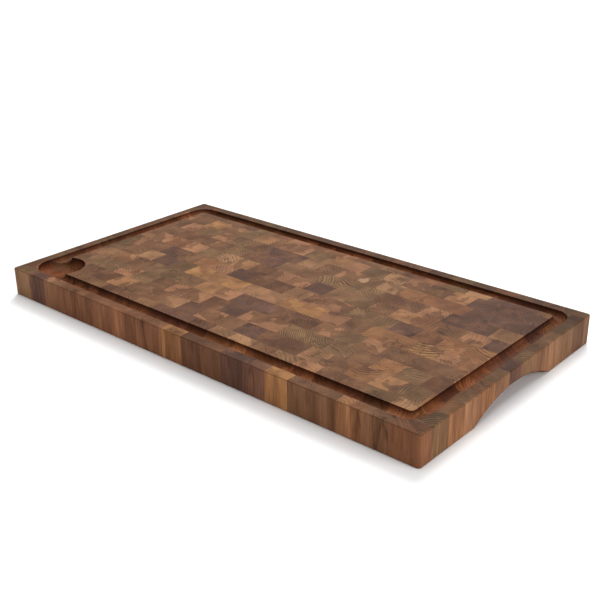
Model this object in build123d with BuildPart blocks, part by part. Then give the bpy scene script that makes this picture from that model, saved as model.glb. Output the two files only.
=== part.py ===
"""End-grain teak cutting board, glued up from thirteen strips of upright blocks.

Millimetres. The origin is the middle of the underside: +X points to the right end, +Y to the back
and +Z up. Every block is a solid of its own, and a strip is a row of touching blocks along X.
"""
import os
from math import sqrt

from build123d import *

# The slab
length = 520.0
width = 280.0
thickness = 30.0
corner_radius = 3.0
edge_radius = 1.2

# The glue-up: a narrow rim strip in front, full strips, and a narrower rim strip behind
front_rim_depth = 15.4
strip_depth = 22.9
full_strips = 11
block_length = 25.7
shortest_block = 5.5
# First glue joint of each strip, measured from the left end, front strip first
first_joints = (27.4, 11.2, 29.4, 13.0, 31.0, 20.2, 8.1, 16.1, 8.5, 18.4, 8.8, 18.2, 11.0)
# What the two rim strips' names end in
rim_endings = {0: "_front_rim", full_strips + 1: "_back_rim"}

# The juice groove: a round-nosed cut that runs round the board from the well and back to it
groove_radius = 6.7
groove_depth = 5.6
groove_inset = 18.3
groove_corner_radius = 10.5

# The juice well, in the left front corner: a round dish with a flat floor
well_radius = 24.5
well_inset = 36.1
well_depth = 10.0
well_corner_radius = 11.0

# The finger grips: a shallow arch in the lower edge of each end, fading out under the board
grip_half_span = 63.0
grip_height = 16.5
grip_reach = 42.0
grip_foot_radius = 14.0
grip_overcut = 4.0
mouth_radius = 1.0

half_length = length / 2
half_width = width / 2


def strip_edges():
    """The y of the front face, of every glue line between strips, and of the back face."""
    edges = [-half_width]
    for index in range(full_strips + 1):
        edges.append(front_rim_depth - half_width + index * strip_depth)
    edges.append(half_width)
    return edges


def block_ends(first_joint):
    """The x of the left end, of every glue joint in one strip, and of the right end."""
    ends = [-half_length]
    joint = first_joint - half_length
    while joint < half_length - shortest_block:
        ends.append(joint)
        joint += block_length
    ends.append(half_length)
    return ends


def make_groove():
    """What the juice groove takes away: four round runs and the three corners between them."""
    x = half_length - groove_inset
    y = half_width - groove_inset
    bend = groove_corner_radius
    z = thickness - groove_depth + groove_radius
    runs = (
        ((well_inset - half_length, -y), (x - bend, -y)),
        ((x, bend - y), (x, y - bend)),
        ((x - bend, y), (bend - x, y)),
        ((-x, y - bend), (-x, well_inset - half_width)),
    )
    corners = ((x - bend, bend - y, 270), (x - bend, y - bend, 0), (bend - x, y - bend, 90))
    with BuildPart() as groove:
        for (start_x, start_y), (end_x, end_y) in runs:
            start = Vector(start_x, start_y, z)
            run = Vector(end_x, end_y, z) - start
            with BuildSketch(Plane(origin=start, z_dir=run)):
                Circle(groove_radius)
            extrude(amount=run.length)
        for corner_x, corner_y, turn in corners:
            with Locations(Location((corner_x, corner_y, z), (0, 0, turn))):
                Torus(bend, groove_radius, major_angle=90, align=None)
    return groove.part


def make_well():
    """What the juice well takes away: a dish whose flat floor curves up to the rim."""
    floor_z = thickness - well_depth
    top_z = floor_z + well_corner_radius
    rise = top_z - thickness
    floor_radius = well_radius - sqrt(well_corner_radius**2 - rise**2)
    outer_radius = floor_radius + well_corner_radius
    with BuildPart() as well:
        with BuildSketch(Plane.XZ):
            with BuildLine():
                Line((0, top_z), (0, floor_z))
                Line((0, floor_z), (floor_radius, floor_z))
                TangentArc((floor_radius, floor_z), (outer_radius, top_z), tangent=(1, 0))
                Line((outer_radius, top_z), (0, top_z))
            make_face()
        revolve(axis=Axis.Z)
    return Pos(well_inset - half_length, well_inset - half_width, 0) * well.part


def make_grip():
    """What the right end's grip takes away: an arch that slopes down and inwards."""
    arch_radius = (grip_half_span**2 + grip_height**2) / (2 * grip_height)
    centre_z = grip_height - arch_radius
    # The foot arc touches the underside and rounds into the arch
    reach = arch_radius + grip_foot_radius
    foot_y = sqrt(reach**2 - (grip_foot_radius - centre_z) ** 2)
    join_y = foot_y * arch_radius / reach
    join_z = centre_z + (grip_foot_radius - centre_z) * arch_radius / reach
    slope = grip_height / grip_reach
    below = -2 * grip_height
    # The cut starts outside the end face, and higher, so that it is true to size at the face
    start = Plane(
        origin=(half_length + grip_overcut, 0, grip_overcut * slope),
        x_dir=(0, 1, 0),
        z_dir=(1, 0, 0),
    )
    travel = 2 * grip_overcut + grip_reach
    with BuildPart() as grip:
        with BuildSketch(start):
            with BuildLine():
                Polyline((-foot_y, 0), (-foot_y, below), (foot_y, below), (foot_y, 0))
                RadiusArc((foot_y, 0), (join_y, join_z), grip_foot_radius)
                RadiusArc((join_y, join_z), (-join_y, join_z), -arch_radius)
                RadiusArc((-join_y, join_z), (-foot_y, 0), grip_foot_radius)
            make_face()
        extrude(amount=travel * sqrt(1 + slope**2), dir=(-1, 0, -slope))
    return grip.part


def is_grip_mouth(edge):
    """Whether an edge of the slab is where a grip breaks out of an end face."""
    middle = edge.center()
    on_end = abs(abs(middle.X) - half_length) < 0.01
    return on_end and abs(middle.Y) < grip_half_span and middle.Z < (grip_height + thickness) / 2


def make_slab():
    """The whole board after machining, before it is parted into blocks."""
    with BuildPart() as slab:
        with BuildSketch():
            RectangleRounded(length, width, corner_radius)
        extrude(amount=thickness)
        fillet(slab.faces().filter_by(Axis.Z).edges(), radius=edge_radius)
        add(right_grip, mode=Mode.SUBTRACT)
        add(left_grip, mode=Mode.SUBTRACT)
        fillet(slab.edges().filter_by(is_grip_mouth), radius=mouth_radius)
        add(groove, mode=Mode.SUBTRACT)
        add(well, mode=Mode.SUBTRACT)
    return slab.part


def cut_out(body, left, right, front, back):
    """The part of a body that lies between two glue lines in X and two in Y."""
    with BuildPart() as piece:
        add(body)
        with Locations(((left + right) / 2, (front + back) / 2, thickness / 2)):
            Box(right - left, back - front, 2 * thickness, mode=Mode.INTERSECT)
    return piece.part


def make_strip(front, back, first_joint):
    """One strip of the glue-up: a row of touching blocks, each still its own solid."""
    row = cut_out(slab, -half_length, half_length, front, back)
    ends = block_ends(first_joint)
    blocks = []
    for left, right in zip(ends, ends[1:]):
        blocks.append(cut_out(row, left, right, front, back))
    return Compound(children=blocks)


groove = make_groove()
well = make_well()
right_grip = make_grip()
left_grip = mirror(right_grip, about=Plane.YZ)
slab = make_slab()

os.makedirs("parts", exist_ok=True)
edges = strip_edges()
for index, first_joint in enumerate(first_joints):
    name = f"strip_{index + 1:02d}" + rim_endings.get(index, "")
    strip = make_strip(edges[index], edges[index + 1], first_joint)
    strip.label = name
    export_step(strip, f"parts/{name}.step")
    print(name, len(strip.children), "blocks")
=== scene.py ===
"""Looks of the end-grain cutting board: teak blocks, a pale floor and soft studio light."""
from bisect import bisect_right
from math import cos, pi, radians, sin
from random import Random

import bpy
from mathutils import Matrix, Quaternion, Vector


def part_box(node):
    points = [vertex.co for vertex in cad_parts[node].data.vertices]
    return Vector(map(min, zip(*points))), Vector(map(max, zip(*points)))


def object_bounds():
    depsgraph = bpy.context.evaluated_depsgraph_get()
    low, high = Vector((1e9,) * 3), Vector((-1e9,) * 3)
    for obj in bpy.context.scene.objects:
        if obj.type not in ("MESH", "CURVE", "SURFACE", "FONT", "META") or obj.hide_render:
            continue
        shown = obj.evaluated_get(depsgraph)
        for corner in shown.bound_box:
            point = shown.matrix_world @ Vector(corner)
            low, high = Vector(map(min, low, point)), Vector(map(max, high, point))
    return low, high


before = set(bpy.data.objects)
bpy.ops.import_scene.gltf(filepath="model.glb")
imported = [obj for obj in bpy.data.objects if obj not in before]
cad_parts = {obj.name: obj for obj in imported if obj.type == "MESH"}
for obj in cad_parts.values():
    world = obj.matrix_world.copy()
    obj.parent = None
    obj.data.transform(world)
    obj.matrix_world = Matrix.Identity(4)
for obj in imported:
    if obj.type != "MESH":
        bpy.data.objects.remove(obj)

CAD_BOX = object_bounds()
LOW, HIGH = CAD_BOX

MM = 0.001
SEED = 7
SAME_PLACE = 0.05 * MM
FAR_AWAY = 10.0
# End faces closer together than this are on the same joint
SHORTEST_BLOCK = 1.5 * MM
# The x of an end face's normal, with or without its minus sign, is above this
END_FACE_NORMAL = 0.999
# Half the size of the field inside which every surface below the top is a cut wall
BORDER_X = HIGH.x - 6 * MM
BORDER_Y = HIGH.y - 6 * MM
# A cut wall is above this
CUT_BOTTOM = LOW.z + 0.2 * MM
# A grip's roof is within this span and below this height, and its normal's z is below this
GRIP_HALF_SPAN = 70 * MM
GRIP_TOP = 18 * MM
GRIP_ROOF_NORMAL = -0.3
# The z of an eased edge's normal is between these, and it keeps this much of its colour as painted
# shade along the edge
ARRIS_NORMALS = (0.15, 0.97)
ARRIS_SHADE = 0.82
# How much of its colour the top of the rim keeps at the right, the back and the left
RIM_WIDTH = 18 * MM
RIM_SHADES = (0.60, 0.68, 0.76)

# The camera, in metres, degrees and mm of lens
CAMERA_PLACE = (0.5990, -0.6631, 0.4141)
CAMERA_AIM = (0.0069, 0.0156, 0.0150)
CAMERA_ROLL = -0.556
CAMERA_LENS = 58.5

# Each sun: its name, where the light comes from, its power and its width in degrees
SUNS = (
    ("key", (-0.45, 0.75, 1.0), 2.35, 30.0),
    ("overhead", (0.0, 0.0, 1.0), 1.44, 40.0),
    ("right_fill", (1.0, 0.20, 0.36), 1.78, 36.0),
    ("front_fill", (0.1, -1.0, 0.05), 0.70, 6.0),
)
# The surroundings: how high they start and stop to fade, and their light below and above that
FADE_HEIGHTS = (0.25, 0.40)
FADE_LIGHTS = (1.0, 0.12)
FLOOR_HALF = 6.0
FLOOR_COLOUR = (0.94, 0.94, 0.94)
FLOOR_LEAST_LIGHT = 0.985
FLOOR_NOISE_SCALE = 3.0
FLOOR_ROUGHNESS = 0.9

# The looks of a block: main colour, colour of its patches, how much of it they cover,
# how strongly its rings show, and how far apart they are in mm
TONES = {
    "b": ((0.137, 0.066, 0.034), (0.110, 0.052, 0.027), 0.40, 0.55, 3.0),
    "r": ((0.135, 0.058, 0.029), (0.170, 0.074, 0.036), 0.35, 0.50, 3.2),
    "d": ((0.100, 0.045, 0.024), (0.128, 0.060, 0.031), 0.35, 0.50, 3.0),
    "p": ((0.088, 0.043, 0.029), (0.115, 0.054, 0.033), 0.40, 0.40, 3.2),
    "t": ((0.165, 0.084, 0.043), (0.205, 0.102, 0.052), 0.35, 0.50, 2.8),
    "h": ((0.250, 0.122, 0.050), (0.190, 0.088, 0.038), 0.35, 0.50, 3.4),
    "m": ((0.145, 0.070, 0.035), (0.240, 0.117, 0.054), 0.80, 0.50, 3.0),
    "s": ((0.142, 0.067, 0.034), (0.226, 0.107, 0.056), 0.45, 0.50, 3.2),
    "o": ((0.190, 0.087, 0.040), (0.145, 0.064, 0.030), 0.35, 0.85, 3.2),
    "l": ((0.150, 0.078, 0.039), (0.240, 0.125, 0.064), 0.55, 0.85, 3.2),
    "g": ((0.123, 0.066, 0.033), (0.152, 0.082, 0.041), 0.40, 1.10, 2.6),
    "y": ((0.205, 0.102, 0.044), (0.138, 0.066, 0.032), 0.30, 1.40, 4.6),
    "w": ((0.138, 0.068, 0.035), (0.280, 0.170, 0.100), 0.25, 0.90, 3.8),
}
# What one block's looks are multiplied by, at random between two numbers
BLOCK_LIGHT = (0.90, 1.10)
BLOCK_COVER = (0.6, 1.3)
BLOCK_STRENGTH = (0.7, 1.2)
BLOCK_SPACING = (0.75, 1.3)
# How far a block's pith may be from its middle
PITH_REACH = (12 * MM, 75 * MM)
# A block's seed, which moves its place in the noise, is from 0 to this
WIDEST_SEED = 50
# The grey of a growth ring from its inner edge, at 0, to its outer edge, at 1
RING_GREYS = ((0.0, 0.30), (0.07, 1.0), (0.20, 0.80), (0.55, 0.55), (0.88, 0.34), (1.0, 0.10))
RING_MEAN_GREY = 0.55
# How far the rings stray, lean with the height, and differ in width from one to the next
RING_WANDER = 11 * MM
RING_LEAN = 0.06
RING_UNEVEN = 1.8
RING_UNEVEN_SCALE = 0.35
# Where the rings fade in the noise, how much is left of them there, and down the sides
RING_FADE = (0.36, 0.60)
RING_FADED = 0.15
RING_ON_SIDE = 0.35
# A pore's middle and edge within its cell; pores are dense early in a ring and sparse late in it
PORE_SIZE = (0.10, 0.34)
PORE_RING_PART = (0.05, 0.45)
LATE_PORES = 0.35
# How the rings draw out the patches, and the noise level and edge that bound them
PATCH_TURNS = 0.0018
PATCH_SLANT = 0.6
PATCH_DRAWN = 0.4
PATCH_SHARED = 0.35
PATCH_LEVEL = 0.66
PATCH_COVER = 0.36
PATCH_EDGE = (-0.020, 0.028)
# Noise, as scale for each metre, detail and roughness, from several blocks down to single fibres
SHARED_NOISE = (24.0, 3.0, 0.55)
CLOUD_NOISE = (55.0, 3.0, 0.5)
BLOTCH_NOISE = (60.0, 3.0, 0.6)
STREAK_NOISE = (210.0, 3.0, 0.6)
THREAD_NOISE = (900.0, 3.0, 0.7)
PATCH_NOISE = (44.0, 3.0, 0.50)
VEIN_NOISE = (34.0, 2.0, 0.5)
WANDER_NOISE = (38.0, 1.0)
FADE_NOISE = (75.0, 1.0)
GLUE_NOISE_SCALE = 40.0
VEIN_NOISE_SCALE = 20.0
PORES_FOR_EACH_METRE = 1300.0
# How much the heights are squeezed in the noise, which draws it out along the fibres
FIBRE_STRETCH = 0.06
PORE_STRETCH = 0.03
BLOTCH_STRETCH = 0.35
VEIN_PLACE_STRETCH = 0.3
# The same once more, on top of FIBRE_STRETCH
THREAD_STRETCH = 0.5
STREAK_STRETCH = 2.0
VEIN_STRETCH = 3.0
# The noise shared by neighbouring blocks is drawn out along a slant and along the heights
SHARED_SLANT = 0.35
SHARED_HEIGHT = 0.1
# Half the width of a vein in its noise, and where in the noise veins and glue lines come and go
VEIN_WIDTH = 0.018
VEIN_PLACES = (0.50, 0.60)
GLUE_PLACES = (0.4, 0.6)
# How much each part lightens or darkens the wood; two numbers are for the sides and the top
RING_GAIN = 1.2
CLOUD_GAIN = 1.05
SHARED_GAIN = 0.95
BLOTCH_GAIN = 0.70
THREAD_GAINS = (0.95, 0.60)
STREAK_GAINS = (1.05, 0.0)
PORE_GAIN = -0.20
VEIN_GAIN = -0.35
# How upright a normal is, from the sides to the top, and from a cut wall to a flatter cut
SIDE_TO_TOP = (0.0, 0.6)
WALL_TO_FLAT = (0.15, 0.85)
# A glue line is full up to the first distance from the joint, and gone at the second
GLUE_WIDTHS = (0.1 * MM, 0.5 * MM)
GLUE_COLOUR = (0.030, 0.013, 0.008, 1.0)
GLUE_SHOWS = 0.30
# The darkest the grain may make the wood, and how much faster green and blue fall than red
LEAST_GAIN = 0.25
GREEN_POWER = 1.10
BLUE_POWER = 1.15
# The tint of the wood on top and down the sides
TOP_TINT = (1.0, 0.98, 0.93, 1.0)
SIDE_TINT = (1.07, 1.0, 0.95, 1.0)
# What painted shade and oil leave of the colour of an upright wall, and of a flatter surface: on
# the cut walls of the groove, the well and the grips it is mostly painted shade, strongest on
# upright walls, with a little darkening by oil; the other faces keep their colour
FACE_SHADE_AND_OIL = ((1.0, 1.0, 1.0, 1.0), (1.0, 1.0, 1.0, 1.0))
CUT_WALL_SHADE_AND_OIL = ((0.20, 0.09, 0.05, 1.0), (0.84, 0.60, 0.48, 1.0))
ROUGHNESS = 0.50
CLOUD_ROUGHNESS = 0.25
SPECULAR = 0.035
BUMP_STRENGTH = 0.35
BUMP_DISTANCE = 0.12 * MM
THREAD_BUMP = 0.5
PORE_BUMP = 0.6
RING_BUMP = 0.25
# What an unnamed block may be
USUAL_TONES = "bbbbbbbbrrrrtggd"
# The tone of each block, left to right, in each strip from front to back; a dot is any usual tone
STRIPS = {
    "strip_01_front_rim": "gpsrrrrrrhddpphbbobr",
    "strip_02": "...bbdbtppdtlblsbbglg",
    "strip_03": "..bdmwstpsbpddtbomgo",
    "strip_04": ".bggsgbssdpssgggbogdt",
    "strip_05": ".tsbgglmsppddsgsbbbo",
    "strip_06": "ggblpghmhtthhsbooysot",
    "strip_07": ".gsbpbospddtssggproop",
    "strip_08": ".ssrsglmdssptgsmrbspg",
    "strip_09": ".bbrbsgbptbgggdbspptb",
    "strip_10": ".bsgsgbpptbswlorrpppt",
    "strip_11": ".sbhsgmssgmsglsbmpppg",
    "strip_12": "......rs..s.....lpp.b",
    "strip_13_back_rim": ".............t......t",
}


def joints_of(mesh):
    """The x of a strip's two ends and of the glue joints between its blocks."""
    places = [LOW.x, HIGH.x]
    for face in mesh.polygons:
        x = face.center.x
        is_new = min(abs(x - place) for place in places) > SHORTEST_BLOCK
        if abs(face.normal.x) > END_FACE_NORMAL and is_new:
            places.append(x)
    return sorted(places)


def block_looks(strip, count, rng):
    """The looks of each block in a strip, which differ a little between blocks of one tone."""
    looks = []
    letters = STRIPS[strip].ljust(count, ".")
    for letter in letters[:count]:
        tone = rng.choice(USUAL_TONES) if letter == "." else letter
        colour, patch, cover, strength, spacing = TONES[tone]
        light = rng.uniform(*BLOCK_LIGHT)
        looks.append({
            "colour": (*(light * part for part in colour), 1.0),
            "patch": (*(light * part for part in patch), cover * rng.uniform(*BLOCK_COVER)),
            "strength": strength * rng.uniform(*BLOCK_STRENGTH),
            "spacing": spacing * MM * rng.uniform(*BLOCK_SPACING),
            "angle": rng.uniform(0, 2 * pi),
            "reach": rng.uniform(*PITH_REACH),
            "seed": rng.uniform(0, WIDEST_SEED),
        })
    return looks


def new_attribute(mesh, name, kind, values):
    """Writes one vector or colour for each face."""
    field = {"FLOAT_VECTOR": "vector", "FLOAT_COLOR": "color"}[kind]
    flat = [number for value in values for number in value]
    mesh.attributes.new(name, kind, "FACE").data.foreach_set(field, flat)


def is_cut(face):
    """Whether a face is a wall of the groove, the well or a grip."""
    x, y, z = face.center
    if not CUT_BOTTOM < z < HIGH.z - SAME_PLACE:
        return False
    inside = abs(x) < BORDER_X and abs(y) < BORDER_Y
    in_grip = abs(y) < GRIP_HALF_SPAN and z < GRIP_TOP and face.normal.z < GRIP_ROOF_NORMAL
    return inside or in_grip


def is_arris(face):
    """Whether a face is on the eased edge round the top or the bottom of the board."""
    outside = abs(face.center.x) > BORDER_X or abs(face.center.y) > BORDER_Y
    steepest, flattest = ARRIS_NORMALS
    return outside and steepest < abs(face.normal.z) < flattest and not is_cut(face)


def shade_of(face):
    """How much of its block's colour a face keeps: painted shade on the eased edges, and darker
    tops on the rim.
    """
    # Painted shade along the eased edges round the top and the bottom
    if is_arris(face):
        return ARRIS_SHADE
    if face.center.z < HIGH.z - SAME_PLACE:
        return 1.0
    right, back, left = RIM_SHADES
    if face.center.x > HIGH.x - RIM_WIDTH:
        return right
    if face.center.y > HIGH.y - RIM_WIDTH:
        return back
    return left if face.center.x < LOW.x + RIM_WIDTH else 1.0


def shaded(colour, shade):
    """A colour with its red, green and blue multiplied by shade."""
    return [shade * part for part in colour[:3]] + [colour[3]]


def pith_of(look, low, high):
    """Where the rings' centre is, which is mostly outside the block, and the block's seed."""
    pith_x = (low[0] + high[0]) / 2 + look["reach"] * cos(look["angle"])
    pith_y = (low[1] + high[1]) / 2 + look["reach"] * sin(look["angle"])
    return pith_x, pith_y, look["seed"]


def glue_low(low):
    """Where a block's glue joints are at its low ends, or far away on the board's outside."""
    left, front = low
    return (
        left if left > LOW.x + SAME_PLACE else -FAR_AWAY,
        front if front > LOW.y + SAME_PLACE else -FAR_AWAY,
        -FAR_AWAY,
    )


def glue_high(high):
    """Where a block's glue joints are at its high ends, or far away on the board's outside."""
    right, back = high
    return (
        right if right < HIGH.x - SAME_PLACE else FAR_AWAY,
        back if back < HIGH.y - SAME_PLACE else FAR_AWAY,
        FAR_AWAY,
    )


def mark_blocks(name, strip, rng):
    """Tells the teak material, face by face, which block it is on."""
    mesh = strip.data
    places = joints_of(mesh)
    front, back = (corner.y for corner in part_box(name))
    looks = block_looks(name, len(places) - 1, rng)
    colours, patches, piths, grains, lows, highs = [], [], [], [], [], []
    for face in mesh.polygons:
        inside = face.center - face.normal * SAME_PLACE
        index = min(max(bisect_right(places, inside.x) - 1, 0), len(looks) - 1)
        look = looks[index]
        low = (places[index], front)
        high = (places[index + 1], back)
        # The painted shade on the eased edges goes into the block's colours and patches here
        shade = shade_of(face)
        colours.append(shaded(look["colour"], shade))
        patches.append(shaded(look["patch"], shade))
        piths.append(pith_of(look, low, high))
        grains.append((look["spacing"], look["strength"], look["seed"]))
        lows.append(glue_low(low))
        highs.append(glue_high(high))
    new_attribute(mesh, "tone", "FLOAT_COLOR", colours)
    new_attribute(mesh, "patch", "FLOAT_COLOR", patches)
    new_attribute(mesh, "pith", "FLOAT_VECTOR", piths)
    new_attribute(mesh, "grain", "FLOAT_VECTOR", grains)
    new_attribute(mesh, "block_low", "FLOAT_VECTOR", lows)
    new_attribute(mesh, "block_high", "FLOAT_VECTOR", highs)


class Graph:
    """Short calls for building one material's nodes."""

    def __init__(self, name):
        self.material = bpy.data.materials.new(name)
        self.material.use_nodes = True
        self.tree = self.material.node_tree
        self.tree.nodes.clear()

    def put(self, socket, value):
        """Links a socket into another one, or sets its number."""
        if isinstance(value, bpy.types.NodeSocket):
            self.tree.links.new(value, socket)
        elif value is not None:
            socket.default_value = value

    def node(self, kind, **settings):
        """Adds a node with the settings given."""
        made = self.tree.nodes.new(kind)
        for name, value in settings.items():
            setattr(made, name, value)
        return made

    def math(self, operation, a, b=None):
        """Arithmetic on numbers."""
        made = self.node("ShaderNodeMath", operation=operation)
        self.put(made.inputs[0], a)
        self.put(made.inputs[1], b)
        return made.outputs[0]

    def vector(self, operation, a, b=None, scale=None):
        """Arithmetic on vectors and colours."""
        made = self.node("ShaderNodeVectorMath", operation=operation)
        self.put(made.inputs[0], a)
        self.put(made.inputs[1], b)
        if scale is not None:
            self.put(made.inputs["Scale"], scale)
        return made.outputs["Value"] if operation == "LENGTH" else made.outputs[0]

    def attribute(self, name):
        """Reads a face attribute that mark_blocks wrote."""
        return self.node("ShaderNodeAttribute", attribute_name=name)

    def split(self, value):
        """The x, y and z of a vector."""
        made = self.node("ShaderNodeSeparateXYZ")
        self.put(made.inputs[0], value)
        return made.outputs

    def join(self, x, y, z):
        """A vector from its x, y and z."""
        made = self.node("ShaderNodeCombineXYZ")
        for socket, value in zip(made.inputs, (x, y, z)):
            self.put(socket, value)
        return made.outputs[0]

    def noise(self, place, scale, detail=2.0, roughness=0.5, colour=False):
        """Noise from 0 to 1, as one number or as a colour."""
        made = self.node("ShaderNodeTexNoise", noise_dimensions="3D")
        self.put(made.inputs["Vector"], place)
        self.put(made.inputs["Scale"], scale)
        self.put(made.inputs["Detail"], detail)
        self.put(made.inputs["Roughness"], roughness)
        return made.outputs["Color" if colour else "Fac"]

    def spread(self, value, low, high, to_low=0.0, to_high=1.0, kind="SMOOTHSTEP"):
        """Takes low to to_low and high to to_high."""
        made = self.node("ShaderNodeMapRange", interpolation_type=kind)
        for socket, number in zip(made.inputs, (value, low, high, to_low, to_high)):
            self.put(socket, number)
        return made.outputs[0]

    def curve(self, value, stops):
        """A ramp of greys: stops are (place, grey)."""
        made = self.node("ShaderNodeValToRGB")
        self.put(made.inputs[0], value)
        elements = made.color_ramp.elements
        while len(elements) < len(stops):
            elements.new(0.5)
        for element, (place, grey) in zip(elements, stops):
            element.position = place
            element.color = (grey, grey, grey, 1.0)
        return made.outputs[0]

    def mix(self, factor, a, b):
        """Colour a where the factor is 0, and colour b where it is 1."""
        made = self.node("ShaderNodeMix", data_type="RGBA")
        self.put(made.inputs["Factor"], factor)
        self.put(made.inputs["A"], a)
        self.put(made.inputs["B"], b)
        return made.outputs["Result"]

    def surface(self, colour, roughness):
        """Puts a shader on the material's output."""
        shader = self.node("ShaderNodeBsdfPrincipled")
        self.put(shader.inputs["Base Color"], colour)
        self.put(shader.inputs["Roughness"], roughness)
        out = self.node("ShaderNodeOutputMaterial")
        self.put(out.inputs["Surface"], shader.outputs[0])
        return shader


class Teak(Graph):
    """Teak with upright fibres: rings on top and underneath, streaks down the sides."""

    def __init__(self, name, shade_and_oil):
        """shade_and_oil is what painted shade and oil leave of the colour on an upright wall, and
        on a flatter surface.
        """
        super().__init__(name)
        self.read_block()
        self.clouds()
        self.rings()
        self.pores()
        glue = self.glue()
        wood = self.mix(self.scale(glue, GLUE_SHOWS), self.grained(self.patched()), GLUE_COLOUR)
        self.shade(self.wall_shade_oil_and_tint(wood, shade_and_oil), glue)

    def read_block(self):
        """Where the point is, and what mark_blocks wrote about its block."""
        self.place = self.node("ShaderNodeTexCoord").outputs["Object"]
        self.x, self.y, self.z = self.split(self.place)
        normal = self.node("ShaderNodeNewGeometry").outputs["Normal"]
        self.upright = self.math("ABSOLUTE", self.split(normal)[2])
        self.pith_x, self.pith_y, _ = self.split(self.attribute("pith").outputs["Vector"])
        grain = self.attribute("grain").outputs["Vector"]
        self.spacing, self.strength, self.seed = self.split(grain)
        # Each block samples its own part of the noise, stretched along the fibres
        self.shift = self.vector("SCALE", self.join(1.0, 2.0, 3.0), scale=self.seed)
        self.fibre = self.vector("MULTIPLY", self.place, (1.0, 1.0, FIBRE_STRETCH))
        self.fibre = self.vector("ADD", self.fibre, self.shift)

    def along(self, stretch):
        """The block's own place in the noise, with heights multiplied by stretch."""
        shifted = self.vector("ADD", self.place, self.shift)
        return self.vector("MULTIPLY", shifted, (1.0, 1.0, stretch))

    def fibre_along(self, stretch):
        """The fibre's place in the noise, with heights multiplied by stretch once more."""
        return self.vector("MULTIPLY", self.fibre, (1.0, 1.0, stretch))

    def scale(self, value, factor):
        """A number multiplied by a factor."""
        return self.math("MULTIPLY", value, factor)

    def by_side(self, on_side, on_top):
        """One number down the sides and another on top and underneath."""
        return self.spread(self.upright, *SIDE_TO_TOP, on_side, on_top)

    def centred_noise(self, place, scale, detail, roughness):
        """Noise from -0.5 to 0.5."""
        return self.math("SUBTRACT", self.noise(place, scale, detail, roughness), 0.5)

    def clouds(self):
        """Soft light and dark, from the size of several blocks down to single fibres."""
        across = self.math("SUBTRACT", self.x, self.y)
        along = self.scale(self.math("ADD", self.x, self.y), SHARED_SLANT)
        slant = self.join(across, along, self.scale(self.z, SHARED_HEIGHT))
        self.shared = self.centred_noise(slant, *SHARED_NOISE)
        self.cloud = self.centred_noise(self.fibre, *CLOUD_NOISE)
        self.blotch = self.centred_noise(self.along(BLOTCH_STRETCH), *BLOTCH_NOISE)
        self.thread = self.centred_noise(self.fibre_along(THREAD_STRETCH), *THREAD_NOISE)
        self.streak = self.centred_noise(self.fibre_along(STREAK_STRETCH), *STREAK_NOISE)

    def rings(self):
        """Growth rings round the pith, which leans a little with the height."""
        wander = self.noise(self.fibre, *WANDER_NOISE, colour=True)
        wander = self.vector("SUBTRACT", wander, (0.5, 0.5, 0.5))
        wander_x, wander_y, _ = self.split(self.vector("SCALE", wander, scale=RING_WANDER))
        leaning = self.math("ADD", self.x, self.scale(self.z, RING_LEAN))
        from_x = self.math("ADD", self.math("SUBTRACT", leaning, self.pith_x), wander_x)
        from_y = self.math("ADD", self.math("SUBTRACT", self.y, self.pith_y), wander_y)
        radius = self.vector("LENGTH", self.join(from_x, from_y, 0.0))
        turns = self.math("DIVIDE", radius, self.spacing)
        uneven_at = self.join(self.scale(turns, RING_UNEVEN_SCALE), self.seed, 0.0)
        uneven = self.noise(uneven_at, 1.0, 1.0)
        self.turns = self.math("ADD", turns, self.scale(uneven, RING_UNEVEN))
        self.phase = self.math("FRACT", self.turns)
        self.ring_light = self.math("SUBTRACT", self.curve(self.phase, RING_GREYS), RING_MEAN_GREY)

    def pores(self):
        """Pores, which are dots on the end grain and hairlines down the sides."""
        cells = self.node("ShaderNodeTexVoronoi", feature="F1")
        self.put(cells.inputs["Vector"], self.along(PORE_STRETCH))
        self.put(cells.inputs["Scale"], PORES_FOR_EACH_METRE)
        pore = self.spread(cells.outputs["Distance"], *PORE_SIZE, 1.0, 0.0)
        early = self.spread(self.phase, *PORE_RING_PART, 1.0, LATE_PORES)
        self.pore = self.math("MULTIPLY", pore, early)

    def patched(self):
        """The block's colour, with patches of its second colour drawn out along the rings."""
        patch = self.attribute("patch").outputs
        offset = self.math("ADD", self.seed, self.scale(self.x, PATCH_SLANT))
        drawn = self.join(self.scale(self.turns, PATCH_TURNS), offset, self.y)
        drawn = self.vector("SCALE", drawn, scale=PATCH_DRAWN)
        own = self.noise(self.vector("ADD", self.fibre, drawn), *PATCH_NOISE)
        level = self.math("ADD", own, self.scale(self.shared, PATCH_SHARED))
        edge_at = self.math("SUBTRACT", PATCH_LEVEL, self.scale(patch["Alpha"], PATCH_COVER))
        inside = self.spread(self.math("SUBTRACT", level, edge_at), *PATCH_EDGE)
        return self.mix(inside, self.attribute("tone").outputs["Color"], patch["Color"])

    def grained(self, colour):
        """The colour made lighter and darker by rings, clouds, streaks, veins and pores."""
        fade = self.spread(self.noise(self.fibre, *FADE_NOISE), *RING_FADE, RING_FADED, 1.0)
        fade = self.math("MULTIPLY", fade, self.by_side(RING_ON_SIDE, 1.0))
        ring = self.math("MULTIPLY", self.math("MULTIPLY", self.ring_light, self.strength), fade)
        parts = (
            (ring, RING_GAIN),
            (self.cloud, CLOUD_GAIN),
            (self.shared, SHARED_GAIN),
            (self.blotch, BLOTCH_GAIN),
            (self.thread, self.by_side(*THREAD_GAINS)),
            (self.streak, self.by_side(*STREAK_GAINS)),
            (self.pore, PORE_GAIN),
            (self.vein(), VEIN_GAIN),
        )
        gain = 1.0
        for part, amount in parts:
            gain = self.math("ADD", gain, self.math("MULTIPLY", part, amount))
        gain = self.math("MAXIMUM", gain, LEAST_GAIN)
        green = self.math("POWER", gain, GREEN_POWER)
        blue = self.math("POWER", gain, BLUE_POWER)
        return self.vector("MULTIPLY", colour, self.join(gain, green, blue))

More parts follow.
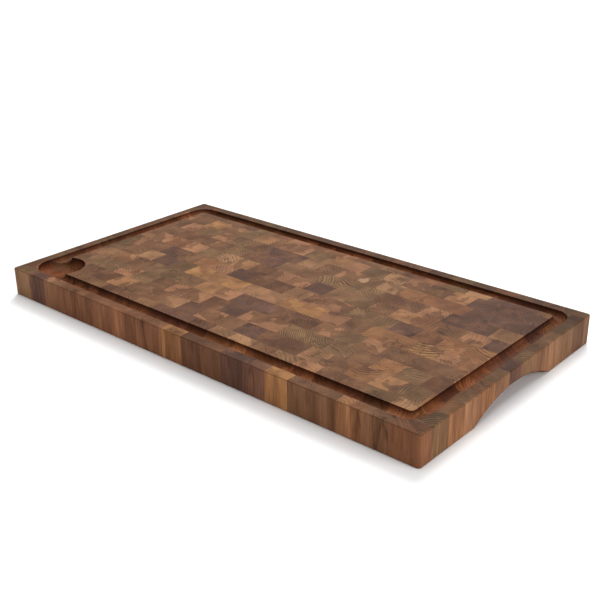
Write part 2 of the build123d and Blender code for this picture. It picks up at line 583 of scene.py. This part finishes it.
    def vein(self):
        """A few thin dark mineral lines that follow the fibres."""
        level = self.centred_noise(self.fibre_along(VEIN_STRETCH), *VEIN_NOISE)
        line = self.spread(self.math("ABSOLUTE", level), 0.0, VEIN_WIDTH, 1.0, 0.0)
        where = self.noise(self.along(VEIN_PLACE_STRETCH), VEIN_NOISE_SCALE)
        return self.math("MULTIPLY", line, self.spread(where, *VEIN_PLACES))

    def glue(self):
        """Thin dark glue lines round each block, which come and go."""
        low = self.attribute("block_low").outputs["Vector"]
        high = self.attribute("block_high").outputs["Vector"]
        to_low = self.vector("SUBTRACT", self.place, low)
        to_high = self.vector("SUBTRACT", high, self.place)
        nearest = self.vector("MINIMUM", to_low, to_high)
        nearest_x, nearest_y, _ = self.split(nearest)
        line = self.spread(self.math("MINIMUM", nearest_x, nearest_y), *GLUE_WIDTHS, 1.0, 0.0)
        where = self.noise(self.place, GLUE_NOISE_SCALE)
        return self.math("MULTIPLY", line, self.spread(where, *GLUE_PLACES))

    def wall_shade_oil_and_tint(self, wood, shade_and_oil):
        """Painted shade, with a little darkening by oil, darkens the cut walls most where they are
        upright, and the fibres' sides are a little warmer.
        """
        # Painted shade on the cut walls, strongest on upright walls, with a little darkening by
        # oil
        left = self.mix(self.spread(self.upright, *WALL_TO_FLAT), *shade_and_oil)
        tint = self.mix(self.by_side(1.0, 0.0), TOP_TINT, SIDE_TINT)
        return self.vector("MULTIPLY", self.vector("MULTIPLY", wood, left), tint)

    def shade(self, wood, glue):
        """The shader, with the fibres and pores just felt in the surface."""
        thread = self.scale(self.thread, THREAD_BUMP)
        height = self.math("SUBTRACT", thread, self.scale(self.pore, PORE_BUMP))
        height = self.math("ADD", height, self.scale(self.ring_light, RING_BUMP))
        bump = self.node("ShaderNodeBump")
        self.put(bump.inputs["Height"], self.math("SUBTRACT", height, glue))
        self.put(bump.inputs["Strength"], BUMP_STRENGTH)
        self.put(bump.inputs["Distance"], BUMP_DISTANCE)
        unevenness = self.scale(self.cloud, CLOUD_ROUGHNESS)
        shader = self.surface(wood, self.math("ADD", ROUGHNESS, unevenness))
        self.put(shader.inputs["Specular IOR Level"], SPECULAR)
        self.put(shader.inputs["Normal"], bump.outputs[0])


def floor_material():
    """A plain, slightly uneven matt surface."""
    graph = Graph("pale_floor")
    place = graph.node("ShaderNodeTexCoord").outputs["Object"]
    noise = graph.noise(place, FLOOR_NOISE_SCALE)
    light = graph.spread(noise, 0.0, 1.0, FLOOR_LEAST_LIGHT, 1.0, "LINEAR")
    graph.surface(graph.vector("SCALE", graph.join(*FLOOR_COLOUR), scale=light), FLOOR_ROUGHNESS)
    return graph.material


def add_floor():
    """A wide pale floor under the board."""
    far = FLOOR_HALF
    mesh = bpy.data.meshes.new("floor")
    corners = [(-far, -far, LOW.z), (far, -far, LOW.z), (far, far, LOW.z), (-far, far, LOW.z)]
    mesh.from_pydata(corners, [], [(0, 1, 2, 3)])
    mesh.materials.append(floor_material())
    floor = bpy.data.objects.new("floor", mesh)
    bpy.context.scene.collection.objects.link(floor)


def add_camera():
    """The camera, turned a little about its own line of sight."""
    data = bpy.data.cameras.new("camera")
    data.lens = CAMERA_LENS
    camera = bpy.data.objects.new("camera", data)
    camera.location = CAMERA_PLACE
    aim = (Vector(CAMERA_AIM) - Vector(CAMERA_PLACE)).to_track_quat("-Z", "Y")
    roll = Quaternion((0, 0, 1), radians(CAMERA_ROLL))
    camera.rotation_euler = (aim @ roll).to_euler()
    bpy.context.scene.collection.objects.link(camera)
    bpy.context.scene.camera = camera


def add_sun(name, towards, power, spread):
    """Very soft light that is the same all over the floor; towards is where it comes from."""
    data = bpy.data.lights.new(name, "SUN")
    data.energy = power
    data.angle = radians(spread)
    light = bpy.data.objects.new(name, data)
    light.rotation_euler = Vector(towards).to_track_quat("Z", "Y").to_euler()
    bpy.context.scene.collection.objects.link(light)


def add_world():
    """White surroundings that are bright below and round the horizon, and dim overhead."""
    world = bpy.data.worlds.new("studio")
    world.use_nodes = True
    tree = world.node_tree
    tree.nodes.clear()
    direction = tree.nodes.new("ShaderNodeTexCoord")
    parts = tree.nodes.new("ShaderNodeSeparateXYZ")
    fade = tree.nodes.new("ShaderNodeMapRange")
    background = tree.nodes.new("ShaderNodeBackground")
    out = tree.nodes.new("ShaderNodeOutputWorld")
    fade.interpolation_type = "SMOOTHSTEP"
    for socket, number in zip(fade.inputs[1:5], (*FADE_HEIGHTS, *FADE_LIGHTS)):
        socket.default_value = number
    background.inputs["Color"].default_value = (1.0, 1.0, 1.0, 1.0)
    tree.links.new(direction.outputs["Generated"], parts.inputs[0])
    tree.links.new(parts.outputs["Z"], fade.inputs[0])
    tree.links.new(fade.outputs[0], background.inputs["Strength"])
    tree.links.new(background.outputs[0], out.inputs["Surface"])
    bpy.context.scene.world = world


def set_light():
    """Soft studio light: a key behind, one overhead, and low fills at the right and in front."""
    add_world()
    for sun in SUNS:
        add_sun(*sun)


def dress_strips():
    """Marks each strip's blocks and gives it the two teak materials; the cut walls get the one
    with painted shade.
    """
    face_teak = Teak("teak_end_grain", FACE_SHADE_AND_OIL).material
    shaded_cut_teak = Teak("teak_cut_wall_painted_shade", CUT_WALL_SHADE_AND_OIL).material
    rng = Random(SEED)
    for name in sorted(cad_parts):
        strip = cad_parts[name]
        mark_blocks(name, strip, rng)
        strip.data.materials.clear()
        strip.data.materials.append(face_teak)
        strip.data.materials.append(shaded_cut_teak)
        for face in strip.data.polygons:
            # The walls of the groove, the well and the grips get the material with the painted
            # shade
            face.material_index = int(is_cut(face))


add_camera()
dress_strips()
add_floor()
set_light()
bpy.context.scene.view_settings.view_transform = "Standard"
